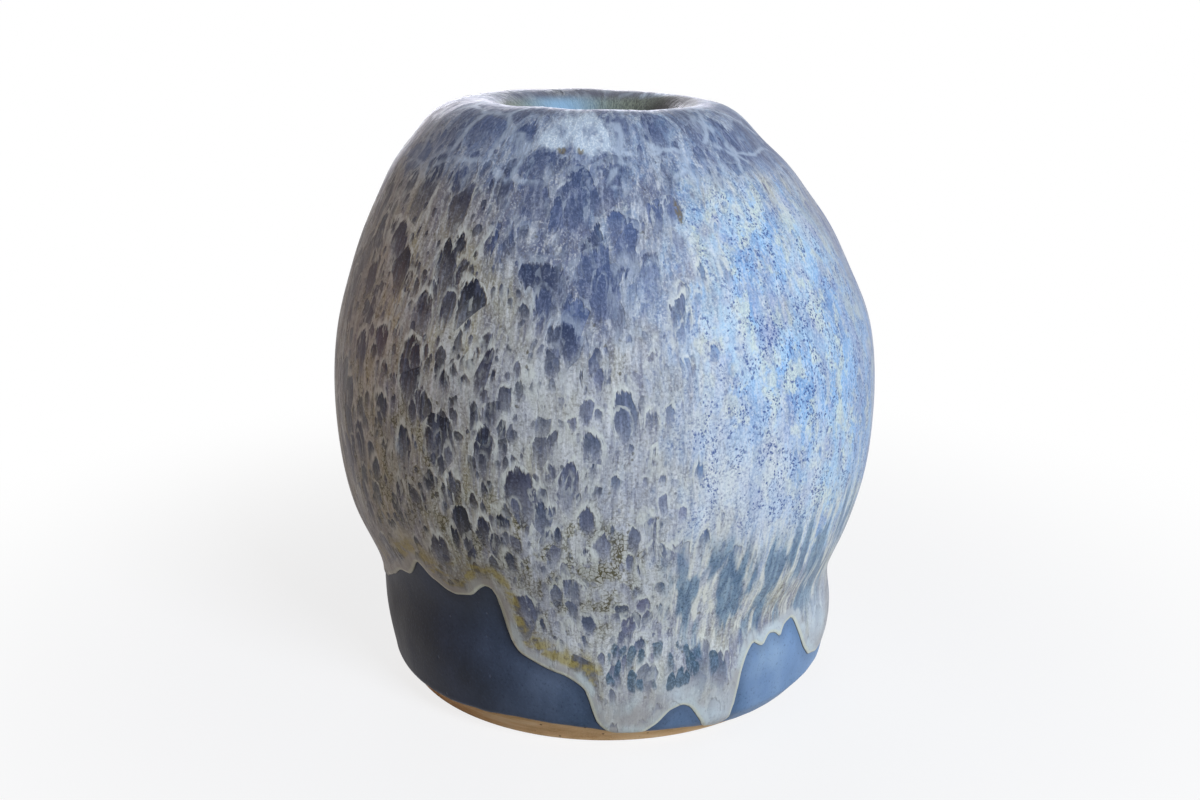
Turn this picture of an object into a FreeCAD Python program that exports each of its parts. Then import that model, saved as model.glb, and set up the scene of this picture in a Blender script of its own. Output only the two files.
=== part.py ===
import FreeCAD, Part
import math
import os

# A hand-thrown ceramic bud vase: a stoneware body with a small mouth, and the three coats of
# glaze that the kiln melted onto it.  All sizes are millimetres.  +Z is up, the front faces -Y,
# and the origin is the middle of the foot's underside.
#
# Every skin of the vase is a loft through level circles, called stations.  Two neighbouring
# pieces are cut from the same skin, so they touch face to face all over.

doc = FreeCAD.newDocument("bud_vase")
sizes = doc.addObject("Spreadsheet::Sheet", "sizes")

# ---------------------------------------------------------------------------------------------
# Driving sizes
# ---------------------------------------------------------------------------------------------

# Outside of the clay from the top of the foot's bevel, over the lip and down into the throat:
# name, height, radius, and how far the potter's hand let that ring lean towards +X.
OUTLINE = (
    ("bevel", 3.8, 36.6, 0.7),
    ("ankle", 7.4, 37.2, 0.6),
    ("foot", 12.2, 37.6, 0.4),
    ("waist", 19.5, 37.4, -0.1),
    ("flare", 25.5, 39.1, 0.1),
    ("hip", 31.5, 41.0, 0.0),
    ("low_belly", 38.3, 42.4, 0.0),
    ("belly", 45.2, 42.9, 0.0),
    ("high_belly", 52.8, 42.7, 0.0),
    ("flank", 60.3, 41.5, -0.2),
    ("low_shoulder", 67.5, 38.9, -0.7),
    ("shoulder", 74.1, 36.1, -1.1),
    ("high_shoulder", 79.8, 32.9, -1.7),
    ("brow", 84.8, 29.7, -2.2),
    ("crown", 88.6, 26.2, -2.6),
    ("crown_edge", 91.9, 22.9, -2.7),
    ("lip_crest", 93.2, 19.3, -2.4),
    ("lip_turn", 92.8, 16.4, -2.0),
    ("lip_edge", 91.2, 14.7, -1.9),
    ("throat", 88.6, 14.3, -1.9),
)

SINGLE_SIZES = {
    "base_radius": 33.8,        # ring the vase stands on, below the bevel
    "base_lean": 0.1,
    "recess_radius": 26.0,      # shallow turned hollow under the foot
    "recess_depth": 1.4,
    "wall": 4.5,                # clay wall, square to the outline
    "floor": 6.2,               # inside floor above the table
    "floor_corner": 9.0,        # round between the floor and the wall
    "throat_round": 1.4,        # eased edge where the throat opens into the chamber
    "base_glaze": 0.6,          # thickness of each coat
    "over_glaze": 1.2,
    "liner_glaze": 0.6,
    "drip_clearance": 0.6,      # bare base glaze left below the lowest run
    "cutter_margin": 6.0,       # how far the drip-line cutter reaches past the coat
}

# Lower edge of the runny glaze, all the way round: degrees from the front, positive towards +X,
# and height above the lowest run.  Long tongues are where the glaze ran in the kiln.
DRIP_LINE = (
    (-70, 14.2), (-61, 17.4), (-52, 19.4), (-45, 23.3), (-40, 20.6), (-35, 19.4), (-30, 20.4),
    (-26, 22.8), (-23, 18.0), (-20, 12.2), (-14, 9.5), (-7, 7.4), (-3, 3.2), (3, 0.2), (8, 0.3),
    (12, 2.0), (16, 3.6), (20, 1.8), (23, 0.4), (28, 0.0), (31, 1.6), (34, 7.0), (37, 8.9),
    (43, 9.2), (49, 11.4), (54, 7.0), (58, 4.0), (62, 4.8), (67, 9.6), (75, 14.5), (85, 16.6),
    (95, 12.6), (103, 8.4), (111, 13.4), (124, 18.6), (137, 16.0), (147, 9.4), (154, 5.2),
    (162, 9.8), (173, 16.8), (184, 19.6), (196, 15.6), (205, 10.4), (213, 6.8), (221, 12.6),
    (232, 18.4), (244, 21.0), (256, 16.6), (265, 11.6), (273, 9.8), (281, 12.0),
)

CIRCLE_POLES = 9        # a full circle as four rational quarter turns
DRIP_SPANS = 24         # edges that the drip line is cut into, so that its area comes out exact

row = 0


def write_size(name, value):
    """Add one driving size to the sheet, under its own name."""
    global row
    row += 1
    sizes.set(f"A{row}", name)
    sizes.set(f"B{row}", str(value))
    sizes.setAlias(f"B{row}", name)


for ring, height, radius, lean in OUTLINE:
    write_size(f"{ring}_height", height)
    write_size(f"{ring}_radius", radius)
    write_size(f"{ring}_lean", lean)
for name, value in SINGLE_SIZES.items():
    write_size(name, value)
doc.recompute()

# ---------------------------------------------------------------------------------------------
# Stations and skins
# ---------------------------------------------------------------------------------------------


def station(name, height, radius, lean):
    """A level circle whose height, radius and lean follow expressions of the sheet."""
    circle = doc.addObject("Part::Circle", name)
    circle.setExpression("Radius", radius)
    circle.setExpression("Placement.Base.z", height)
    circle.setExpression("Placement.Base.x", lean)
    return circle


def leaning_surface(circles):
    """The smooth surface through level circles: round at every height, centred on their lean.

    Each pole of the profile (radius, lean, height) becomes one ring of poles of a rational
    circle, so the centres can't swing between two stations as they do in a loft.
    """
    profile = Part.BSplineCurve()
    profile.interpolate([FreeCAD.Vector(circle.Radius.Value, circle.Placement.Base.x,
                                        circle.Placement.Base.z) for circle in circles])
    rings = profile.getPoles()
    poles = []
    weights = []
    for corner in range(CIRCLE_POLES):
        turn = 2 * math.pi * corner / (CIRCLE_POLES - 1)
        weight = 1 if corner % 2 == 0 else math.sqrt(0.5)
        across, along = math.cos(turn) / weight, math.sin(turn) / weight
        poles.append([FreeCAD.Vector(ring.y + ring.x * across, ring.x * along, ring.z)
                      for ring in rings])
        weights.append([weight] * len(rings))
    surface = Part.BSplineSurface()
    surface.buildFromPolesMultsKnots(poles, [3, 2, 2, 2, 3], profile.getMultiplicities(),
                                     [0, 1, 2, 3, 4], profile.getKnots(), False, False,
                                     2, profile.Degree, weights)
    return surface.toShape()


def skin(name, circles):
    """The closed solid inside the smooth surface through a list of circles."""
    doc.recompute()
    side = leaning_surface(circles)
    ends = [Part.Face(Part.Wire([edge])) for edge in side.Edges if edge.isClosed()]
    shell = Part.Shell([side] + ends)
    shell.sewShape()
    feature = doc.addObject("Part::Feature", name)
    feature.Shape = Part.Solid(shell)
    return feature


def moved_out(depth, before, here, after):
    """Height and radius of a ring moved by a depth, square to the line between its neighbours."""
    rise = f"({after[0]} - ({before[0]}))"
    run = f"({after[1]} - ({before[1]}))"
    slant = f"hypot({rise}; {run})"
    return (f"{here[0]} - ({depth}) * {run} / {slant}", f"{here[1]} + ({depth}) * {rise} / {slant}")


def coat_skin(name, rings, depth, first_side, last_side):
    """A skin parallel to a list of rings (name, height, radius, lean).

    The first and the last ring keep their plane or their radius, as their side says, so that
    coats of any thickness end flush with each other.
    """
    circles = []
    last = len(rings) - 1
    for i, (ring, height, radius, lean) in enumerate(rings):
        if i in (0, last):
            level_out, radial_out = first_side if i == 0 else last_side
            height = f"{height} + ({level_out}) * ({depth})"
            radius = f"{radius} + ({radial_out}) * ({depth})"
        else:
            before, after = rings[i - 1][1:3], rings[i + 1][1:3]
            height, radius = moved_out(depth, before, (height, radius), after)
        circles.append(station(f"{name}_{ring}", height, radius, lean))
    return skin(name, circles)


OUT_SIDEWAYS, IN_SIDEWAYS = (0, 1), (0, -1)
DOWNWARDS = (-1, 0)

outline_rings = [(ring, f"sizes.{ring}_height", f"sizes.{ring}_radius", f"sizes.{ring}_lean")
                 for ring, *values in OUTLINE]
clay_skin = coat_skin("clay_skin", outline_rings, "0", OUT_SIDEWAYS, IN_SIDEWAYS)
base_skin = coat_skin("base_skin", outline_rings, "sizes.base_glaze", OUT_SIDEWAYS, IN_SIDEWAYS)
over_skin = coat_skin("over_skin", outline_rings, "sizes.base_glaze + sizes.over_glaze",
                      OUT_SIDEWAYS, IN_SIDEWAYS)

# ---------------------------------------------------------------------------------------------
# Chamber: the clay's inside, one wall thickness in from the outline
# ---------------------------------------------------------------------------------------------

CORNER_SHARE = 1 - math.sqrt(0.5)       # middle of a quarter round, as a share of its radius
WALL_RINGS = slice(3, 15)               # outline rings that the plain wall follows: waist to crown


def chamber_rings():
    """Rings of the clay's inside, from the floor to the end of the throat."""
    wall_foot = "(sizes.foot_radius - sizes.wall)"
    lean = "sizes.foot_lean"
    rings = [
        ("floor", "sizes.floor", f"{wall_foot} - sizes.floor_corner", lean),
        ("corner", f"sizes.floor + sizes.floor_corner * {CORNER_SHARE:.4f}",
         f"{wall_foot} - sizes.floor_corner * {CORNER_SHARE:.4f}", lean),
        ("wall_foot", "sizes.floor + sizes.floor_corner", wall_foot, lean),
    ]
    for i in range(len(outline_rings))[WALL_RINGS]:
        ring, height, radius, lean = outline_rings[i]
        before, after = outline_rings[i - 1][1:3], outline_rings[i + 1][1:3]
        inner = moved_out("-sizes.wall", before, (height, radius), after)
        rings.append((ring, inner[0], inner[1], lean))
    ring, height, radius, lean = outline_rings[-1]
    rings.append(("throat_ease", f"{height} - sizes.throat_round * {CORNER_SHARE:.4f}",
                  f"{radius} + sizes.throat_round", lean))
    rings.append((ring, height, radius, lean))
    return rings


inner_rings = chamber_rings()
throat_height, throat_radius, throat_lean = inner_rings[-1][1:]
past_throat = ("past_throat", f"{throat_height} + sizes.throat_round", throat_radius, throat_lean)
chamber = coat_skin("chamber", inner_rings, "0", DOWNWARDS, OUT_SIDEWAYS)
liner_core = coat_skin("liner_core", inner_rings + [past_throat], "-sizes.liner_glaze",
                       DOWNWARDS, OUT_SIDEWAYS)

# ---------------------------------------------------------------------------------------------
# The clay body: thrown wall, bevelled foot, turned hollow underneath
# ---------------------------------------------------------------------------------------------


def combined(kind, name, base, tool):
    """One boolean of the Part workbench."""
    result = doc.addObject(kind, name)
    result.Base = base
    result.Tool = tool
    return result


bevel_top = station("bevel_top", "sizes.bevel_height", "sizes.bevel_radius", "sizes.bevel_lean")
bevel_base = station("bevel_base", "0", "sizes.base_radius", "sizes.base_lean")
bevel = doc.addObject("Part::Loft", "bevel")
bevel.Sections = [bevel_base, bevel_top]
bevel.Solid = True
bevel.Ruled = True

recess = doc.addObject("Part::Cylinder", "recess")
recess.setExpression("Radius", "sizes.recess_radius")
recess.setExpression("Height", "sizes.recess_depth")
recess.setExpression("Placement.Base.x", "sizes.base_lean")

thrown_form = combined("Part::Fuse", "thrown_form", clay_skin, bevel)
hollow_form = combined("Part::Cut", "hollow_form", thrown_form, chamber)
clay_body = combined("Part::Cut", "clay_body", hollow_form, recess)

# ---------------------------------------------------------------------------------------------
# The coats of glaze
# ---------------------------------------------------------------------------------------------

base_glaze = combined("Part::Cut", "base_glaze", base_skin, clay_skin)
liner_glaze = combined("Part::Cut", "liner_glaze", chamber, liner_core)
whole_overglaze = combined("Part::Cut", "whole_overglaze", over_skin, base_skin)


def drip_edges(radius):
    """The drip line at a distance from the axis: one closed curve, as edges end to end."""
    lowest = sizes.get("bevel_height") + sizes.get("drip_clearance")
    points = []
    for degrees, rise in DRIP_LINE:
        turn = math.radians(degrees)
        points.append(FreeCAD.Vector(radius * math.sin(turn), -radius * math.cos(turn),
                                     lowest + rise))
    curve = Part.BSplineCurve()
    curve.interpolate(Points=points, PeriodicFlag=True)
    step = (curve.LastParameter - curve.FirstParameter) / DRIP_SPANS
    starts = [curve.FirstParameter + step * i for i in range(DRIP_SPANS)]
    return [curve.toShape(start, start + step) for start in starts]


def drip_cutter_shape():
    """Everything below the drip line, as a ring that reaches past both sides of the coat."""
    margin = sizes.get("cutter_margin")
    foot_radii = [sizes.get(f"{ring}_radius") for ring in ("bevel", "foot", "waist", "flare")]
    coats = sizes.get("base_glaze") + sizes.get("over_glaze")
    inside = drip_edges(min(foot_radii) - margin)
    outside = drip_edges(max(foot_radii) + coats + margin)
    drop = FreeCAD.Vector(0, 0, -max(rise for degrees, rise in DRIP_LINE) - margin)
    top = [Part.makeRuledSurface(a, b) for a, b in zip(inside, outside)]
    sides = [edge.extrude(drop) for edge in inside + outside]
    bottom = [face.translated(drop) for face in top]
    shell = Part.Shell(top + sides + bottom)
    shell.sewShape()
    return Part.Solid(shell)


doc.recompute()
drip_cutter = doc.addObject("Part::Feature", "drip_cutter")
drip_cutter.Shape = drip_cutter_shape()
runny_overglaze = combined("Part::Cut", "runny_overglaze", whole_overglaze, drip_cutter)

# ---------------------------------------------------------------------------------------------
# Check every object, then write one file for each piece
# ---------------------------------------------------------------------------------------------

doc.recompute()
for thing in doc.Objects:
    if {"Invalid", "Error"} & set(thing.State):
        raise RuntimeError(f"{thing.Label} did not build")

PIECES = (clay_body, base_glaze, runny_overglaze, liner_glaze)
os.makedirs("parts", exist_ok=True)
for piece in PIECES:
    shape = piece.Shape
    if shape.isNull() or not shape.isValid() or len(shape.Solids) != 1:
        raise RuntimeError(f"{piece.Label} is not one sound solid")
    box = shape.BoundBox
    print(f"{piece.Label}: {shape.Volume / 1000:.1f} cm3, X {box.XMin:.2f} to {box.XMax:.2f},"
          f" Y {box.YMin:.2f} to {box.YMax:.2f}, Z {box.ZMin:.2f} to {box.ZMax:.2f}")
for piece in PIECES:
    piece.Shape.exportStep(f"parts/{piece.Label}.step")
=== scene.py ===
# %% [markdown]
# # A ceramic bud vase, finished in Blender
# The vase is thrown stoneware with three coats of glaze: a slate-blue satin base, a thick pale glaze
# that ran down over it in the kiln, and a glossy liner inside.  The CAD model gives the true sizes.
# This lesson keeps its frame, and models the four pieces again with the surface they really have.

# %% Load the frame
import math
import bpy
import numpy as np
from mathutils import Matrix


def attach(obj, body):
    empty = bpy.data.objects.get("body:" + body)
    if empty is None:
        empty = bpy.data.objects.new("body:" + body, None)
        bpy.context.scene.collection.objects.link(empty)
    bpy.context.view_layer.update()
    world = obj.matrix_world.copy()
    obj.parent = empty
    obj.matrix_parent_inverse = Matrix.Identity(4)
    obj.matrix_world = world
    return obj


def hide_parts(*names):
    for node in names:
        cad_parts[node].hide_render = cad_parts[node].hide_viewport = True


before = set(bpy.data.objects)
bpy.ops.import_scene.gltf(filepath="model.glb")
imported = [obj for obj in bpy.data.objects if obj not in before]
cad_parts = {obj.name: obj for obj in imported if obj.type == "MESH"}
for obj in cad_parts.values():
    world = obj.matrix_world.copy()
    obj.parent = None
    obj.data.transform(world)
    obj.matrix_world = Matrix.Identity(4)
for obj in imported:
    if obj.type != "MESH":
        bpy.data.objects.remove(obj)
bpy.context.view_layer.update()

MM = 0.001

# %% [markdown]
# ## The line that the potter's hand drew
# A thrown pot is one line turned round an axis, but this one leans a little: the centre of each ring
# sits to one side.  A lathe modifier can't lean, so the line is a list of rings, joined by a smooth
# cubic curve.  Every coat is then the same line, moved out by its thickness.

# %% Rings of the clay, from the throat over the lip and down to the foot
CLAY_RINGS = (  # height, radius, lean towards +X, in millimetres
    (88.6, 14.3, -1.9), (91.2, 14.7, -1.9), (92.8, 16.4, -2.0), (93.2, 19.3, -2.4),
    (91.9, 22.9, -2.7), (88.6, 26.2, -2.6), (84.8, 29.7, -2.2), (79.8, 32.9, -1.7),
    (74.1, 36.1, -1.1), (67.5, 38.9, -0.7), (60.3, 41.5, -0.2), (52.8, 42.7, 0.0),
    (45.2, 42.9, 0.0), (38.3, 42.4, 0.0), (31.5, 41.0, 0.0), (25.5, 39.1, 0.1),
    (19.5, 37.4, -0.1), (12.2, 37.6, 0.4), (7.4, 37.2, 0.6), (3.8, 36.6, 0.7),
)
FOOT_EDGE = (0.5, 34.2, 0.1)
CORNER = 0.8            # length over which a corner of the line is rounded, in millimetres
STEP = 0.05             # spacing of the points kept on a line
CURVE_POINTS = 1500


def curve_through(points):
    """Many points on a smooth cubic curve through a few."""
    points = np.array(points, float)
    marks = np.append(0, np.cumsum(np.linalg.norm(np.diff(points, axis=0), axis=1)))
    spans = np.diff(marks)
    slopes = np.diff(points, axis=0) / spans[:, None]
    equations = np.eye(len(marks))
    bends = np.zeros_like(points)
    for i in range(1, len(spans)):
        equations[i, i - 1:i + 2] = spans[i - 1], 2 * (spans[i - 1] + spans[i]), spans[i]
        bends[i] = 6 * (slopes[i] - slopes[i - 1])
    bends = np.linalg.solve(equations, bends)
    places = np.linspace(0, marks[-1], CURVE_POINTS)
    i = np.clip(np.searchsorted(marks, places) - 1, 0, len(spans) - 1)
    along, span = (places - marks[i])[:, None], spans[i][:, None]
    start = slopes[i] - span * (2 * bends[i] + bends[i + 1]) / 6
    turn = (bends[i + 1] - bends[i]) / (6 * span)
    return points[i] + along * (start + along * (bends[i] / 2 + along * turn))


class ThrownLine:
    """A line of (height, radius, lean) that is turned round the axis, with its outward direction."""

    def __init__(self, points):
        points = np.array(points, float)
        run = np.append(0, np.cumsum(np.hypot(*np.diff(points[:, :2], axis=0).T)))
        self.length = run[-1]
        self.arcs = np.arange(0, self.length, STEP)
        self.line = np.stack([np.interp(self.arcs, run, column) for column in points.T], axis=1)
        travel = np.gradient(self.line[:, :2], axis=0)
        width = int(CORNER / STEP) | 1
        padded = np.pad(travel, ((width // 2, width // 2), (0, 0)), mode="edge")
        travel = np.stack([np.convolve(column, np.ones(width) / width, "valid")
                           for column in padded.T], axis=1)
        travel /= np.linalg.norm(travel, axis=1)[:, None]
        self.out = np.stack([travel[:, 1], -travel[:, 0]], axis=1)      # upwards, away from the axis

    def read(self, column, arcs):
        return np.interp(arcs, self.arcs, column)

    def skin(self, turns, arcs, depth=0.0):
        """Points at arc lengths (rows) and turns (columns), moved out by a depth."""
        arcs, turns = np.broadcast_arrays(arcs, turns)
        height = self.read(self.line[:, 0], arcs) + depth * self.read(self.out[:, 0], arcs)
        radius = self.read(self.line[:, 1], arcs) + depth * self.read(self.out[:, 1], arcs)
        lean = self.read(self.line[:, 2], arcs)
        return np.stack([lean + radius * np.sin(turns), -radius * np.cos(turns), height], axis=-1)


clay_curve = curve_through(CLAY_RINGS)
outside = ThrownLine(np.vstack([clay_curve, FOOT_EDGE]))
bevel_arc = outside.length - math.dist(CLAY_RINGS[-1][:2], FOOT_EDGE[:2])
print(f"outside line {outside.length:.1f} mm long, bevel from {bevel_arc:.1f} mm")

# %% [markdown]
# ## From rows of points to a closed piece
# A piece of pottery is a skin with two sides.  The rows run down one side and back up the other, so
# a coat closes on itself like a sleeve.  A piece with a floor closes over a centre point at each end.
# Notes are numbers kept on the points, such as how far the glaze has flowed; the materials read them.

# %% Helpers: columns, rounding and the mesh
COLUMNS = 480
turns = np.radians(np.arange(COLUMNS) * 360 / COLUMNS - 180)      # 0 is the front, + is towards +X
CROWN_FALL = 1.1        # how far the crown's right side has sunk, in millimetres


def ease(value, low, high):
    """0 below low, 1 above high, with soft ends."""
    share = np.clip((value - low) / (high - low), 0, 1)
    return share * share * (3 - 2 * share)


def settled(points):
    """The soft clay sank a little on the right of the crown."""
    points = points.copy()
    share = ease(points[..., 2], 72, 91) * np.clip((points[..., 0] + 14) / 38, 0, 1) ** 1.4
    points[..., 2] -= CROWN_FALL * share
    return points


def flow_of(points, arcs):
    """Where a point lies in the glaze's flow: round the pot, and down along the wall, in mm."""
    radius = np.hypot(points[..., 0], points[..., 1])
    share = (0.5 + 0.5 * 42 / np.maximum(radius, 8))
    arcs = np.broadcast_to(arcs, radius.shape)
    return np.stack([points[..., 0] * share, points[..., 1] * share, -arcs], axis=-1)


def faces_between(ids):
    """Quads between the rows of a table of point numbers, closed all round."""
    above, below = ids[:-1], ids[1:]
    corners = above, below, np.roll(below, -1, axis=1), np.roll(above, -1, axis=1)
    return np.stack(corners, axis=-1).reshape(-1, 4).tolist()


def placed(name, data):
    """A new object in the scene."""
    made = bpy.data.objects.new(name, data)
    bpy.context.scene.collection.objects.link(made)
    return made


def thrown_piece(name, node, rows, sleeve, notes):
    """A closed mesh from rows of points, that stands for a CAD node."""
    count = len(rows)
    ids = np.arange(count * COLUMNS).reshape(count, COLUMNS)
    faces = faces_between(np.vstack([ids, ids[:1]]) if sleeve else ids)
    points = settled(rows).reshape(-1, 3)
    notes = {key: value.reshape(count * COLUMNS, -1) for key, value in notes.items()}
    if not sleeve:
        ends = ((ids[0], len(points)), (ids[-1], len(points) + 1))
        for ring, centre in ends:
            points = np.vstack([points, points[ring].mean(axis=0)])
            notes = {key: np.vstack([value, value[ring].mean(axis=0)]) for key, value in notes.items()}
            around = list(zip(ring, np.roll(ring, -1)))
            if ring is ids[0]:
                faces += [(centre, a, b) for a, b in around]
            else:
                faces += [(a, centre, b) for a, b in around]
    mesh = bpy.data.meshes.new(name)
    mesh.from_pydata((points * MM).tolist(), [], faces)
    for key, value in notes.items():
        kind, part = ("FLOAT_VECTOR", "vector") if value.shape[1] == 3 else ("FLOAT", "value")
        field = mesh.attributes.new(key, kind, "POINT")
        field.data.foreach_set(part, value.astype(np.float32).ravel())
    mesh.polygons.foreach_set("use_smooth", [True] * len(mesh.polygons))
    mesh.update()
    piece = placed(name, mesh)
    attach(piece, "root")
    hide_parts(node)
    low, high = points.min(axis=0), points.max(axis=0)
    print(f"{name}: {len(mesh.polygons)} faces, z {low[2]:.2f} to {high[2]:.2f} mm,",
          f"x {low[0]:.2f} to {high[0]:.2f} mm")
    return piece


# %% [markdown]
# ## Uneven by nature
# Nothing on a hand-made pot is quite even.  A few long waves, with seeded random phases, give the
# slow unevenness of brushed or poured glaze.

# %% Slow waves round the pot
WAVE_COUNT = 6
WAVE_CALM = 1.6         # brings the sum of the waves to about -1 to 1


def waves(turns, arcs, rounds, length, seed):
    """About -1 to 1, slowly varying: rounds bumps round the pot, length mm apart along it."""
    random = np.random.default_rng(seed)
    total = 0
    for _ in range(WAVE_COUNT):
        around = random.integers(max(1, rounds // 2), rounds + 1)
        along = 2 * math.pi / (length * random.uniform(0.7, 1.6))
        total = total + np.cos(around * turns * random.choice([-1, 1]) + along * arcs
                               + random.uniform(0, 2 * math.pi))
    return total / WAVE_COUNT ** 0.5 / WAVE_CALM


# %% [markdown]
# ## Patches on the pot
# Other things, such as an ochre stain, lie in one place only.  A patch has an angle, a height and two
# half-widths, and fades softly into the rest.

# %% Soft patches by angle and height
def patches(places, turns, height):
    """Sum of soft patches: degrees from the front, height, half-widths in degrees and mm, strength."""
    total = 0
    for degrees, level, wide, tall, strength in places:
        apart = (np.degrees(turns) - degrees + 180) % 360 - 180
        total = total + strength * np.exp(-(apart / wide) ** 2 - ((height - level) / tall) ** 2)
    return np.clip(total, 0, 1)


def notes_from(table, rows):
    """A note for each name in a table of patches."""
    return {name: patches(places, turns, rows[..., 2]) for name, places in table.items()}


# %% [markdown]
# ## Clay body
# The body is buff stoneware.  Only its bevelled foot and its underside stay bare, so those get the
# turning marks.  Inside, the chamber is one wall thickness in from the outside, with a round floor
# corner, and it ends at the throat.

# %% The chamber's line
WALL, FLOOR, FLOOR_CORNER = 4.5, 6.2, 9.0
THROAT = CLAY_RINGS[0]
THROAT_EASE = (88.2, 15.7, -1.9)
WAIST_ARC, CROWN_ARC = 90.7, 16.6       # between them the chamber follows the outside
CORNER_POINTS = 14

corner_turn = np.linspace(0, math.pi / 2, CORNER_POINTS)
wall_foot = CLAY_RINGS[-3][1] - WALL
corner = np.stack([FLOOR + FLOOR_CORNER * (1 - np.cos(corner_turn)),
                   wall_foot - FLOOR_CORNER * (1 - np.sin(corner_turn)),
                   np.full(CORNER_POINTS, 0.4)], axis=1)
inner_arcs = np.arange(WAIST_ARC, CROWN_ARC, -2.0)
inner_wall = outside.skin(math.pi / 2, inner_arcs, -WALL)
inner_lean = outside.read(outside.line[:, 2], inner_arcs)
inner_wall = np.stack([inner_wall[:, 2], inner_wall[:, 0] - inner_lean, inner_lean], axis=1)
chamber = ThrownLine(np.vstack([(FLOOR, 0.3, 0.4), corner, inner_wall, THROAT_EASE, THROAT]))
print(f"chamber line {chamber.length:.1f} mm long")

# %% The clay body's rows
TURNING_MARK, MARK_SPACING = 0.05, 0.85
RECESS_RADIUS, RECESS_DEPTH = 26.0, 1.4
CHAMBER_ROWS = 40
HIDDEN_SPACING, BARE_SPACING = 2.6, 0.22    # rows under the glaze, and where the clay shows
TUCK = 0.05             # how far the clay stays below the glaze over it, in millimetres

underside = ThrownLine(np.vstack([
    FOOT_EDGE, (0.12, 34.0, 0.1), (0.0, 33.5, 0.1), (0.0, RECESS_RADIUS + 0.5, 0.1),
    (0.3, RECESS_RADIUS, 0.1), (RECESS_DEPTH - 0.3, RECESS_RADIUS - 0.3, 0.1),
    (RECESS_DEPTH, RECESS_RADIUS - 0.8, 0.1), (RECESS_DEPTH, 0.3, 0.1)]))

hidden_arcs = np.arange(0.0, bevel_arc - 3.0, HIDDEN_SPACING)[:, None]
bare_arcs = np.arange(bevel_arc - 3.0, outside.length, BARE_SPACING)[:, None]
marks = TURNING_MARK * (np.sin(2 * math.pi * bare_arcs / MARK_SPACING) - 1) * 0.5
marks = marks + 0.05 * (waves(turns, bare_arcs, 40, 3.0, 4) - 1)
marks = marks * ease(bare_arcs, bevel_arc - 2, bevel_arc) * ease(outside.length - bare_arcs, 0, 0.6)
under_arcs = np.append(np.arange(0, 12, 0.3), np.arange(12, underside.length, 1.0))[:, None]
clay_arcs = np.vstack([np.zeros((CHAMBER_ROWS, 1)), hidden_arcs, bare_arcs,
                       under_arcs + outside.length])
clay_rows = np.concatenate([
    chamber.skin(turns, np.linspace(0, chamber.length, CHAMBER_ROWS)[:, None]),
    outside.skin(turns, hidden_arcs, -TUCK),
    outside.skin(turns, bare_arcs, marks - TUCK * (1 - ease(bare_arcs, bevel_arc - 1, bevel_arc))),
    underside.skin(turns, under_arcs)])
clay_body = thrown_piece("clay_body_thrown", "clay_body", clay_rows, False,
                         {"flow": flow_of(clay_rows, clay_arcs)})

# %% [markdown]
# ## Where each glaze stops
# The base glaze was wiped off just above the foot, in a slightly wavy line.  The thick glaze over it
# ran further in some places than in others, and froze as tongues and drops.  Both edges are lists of
# points, degrees from the front and height, read like points on a map.

# %% Foot line and drip line
FOOT_LINE = (  # degrees from the front, height of the base glaze's lower edge in mm
    (-60, 3.0), (-44, 3.2), (-36, 3.7), (-30, 3.8), (-23, 4.3), (-16, 4.2), (-6, 3.9), (2, 3.3),
    (10, 3.0), (18, 2.8), (24, 2.1), (30, 1.3), (40, 0.9), (52, 0.9), (64, 1.1), (76, 1.9),
    (96, 2.9), (118, 3.7), (140, 3.2), (166, 2.8), (190, 3.9), (214, 3.3), (240, 4.1), (268, 3.4),
)
DRIP_LINE = (  # degrees from the front, height of the runny glaze's lower edge in mm
    (-70, 18.5), (-61, 21.5), (-55, 24.0), (-51, 24.0), (-48, 26.0), (-45, 28.0), (-42, 26.0),
    (-38, 24.5), (-35, 24.0), (-30, 25.0), (-28, 26.5), (-26, 27.5), (-24, 26.5), (-23, 22.0),
    (-22, 18.0), (-20, 16.0), (-17, 15.0), (-14, 14.0), (-10, 13.3), (-7, 12.0), (-5, 11.0),
    (-4, 7.5), (-3, 5.0), (-1, 3.7), (1, 3.2), (5, 3.1), (8, 3.4), (11, 4.6), (14, 6.8), (17, 7.7),
    (19, 7.0), (22, 3.8), (24, 2.3), (27, 1.8), (30, 2.3), (31, 6.0), (32, 11.0), (34, 13.5),
    (36.5, 15.2), (38, 14.3), (39.5, 14.1), (41.5, 15.5), (44, 15.2), (45.5, 14.0), (47, 15.7),
    (51, 16.4), (53, 13.0), (55, 10.0), (59, 7.6), (65, 6.3), (71, 6.2), (76, 7.4), (79, 9.5),
    (82, 14.0),
    (85, 18.5), (90, 21.5), (96, 22.5), (102, 21.0), (107, 18.0), (110, 13.5), (113, 11.2),
    (117, 10.4), (120, 11.8), (123, 15.5), (126, 20.0), (131, 22.8), (136, 22.6), (140, 20.5),
    (143, 16.5), (146, 11.0), (150, 8.6), (154, 8.8), (157, 11.5), (160, 16.0), (163, 18.5),
    (169, 21.5), (176, 22.5),
    (180, 25.0), (185, 25.5), (190, 23.0), (196, 21.0), (200, 19.0), (202, 15.0), (204, 12.0),
    (208, 10.4), (213, 10.0), (217, 11.5), (219, 15.0), (221, 19.5), (226, 22.0), (233, 24.0),
    (240, 26.0), (246, 27.0), (251, 25.0), (256, 22.5), (259, 19.5), (261, 16.5), (265, 15.0),
    (271, 14.2), (276, 14.8), (279, 17.5), (284, 19.5),
)


def height_round(points, at):
    """Height of an edge at any turn, softened over about one degree."""
    degrees, heights = np.array(points, float).T
    fine = np.arange(-360, 720, 0.25)
    level = np.interp(fine, np.concatenate([degrees - 360, degrees, degrees + 360]),
                      np.tile(heights, 3))
    level = np.convolve(level, np.hanning(11) / np.hanning(11).sum(), "same")
    return np.interp(np.degrees(at), fine, level)


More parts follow.
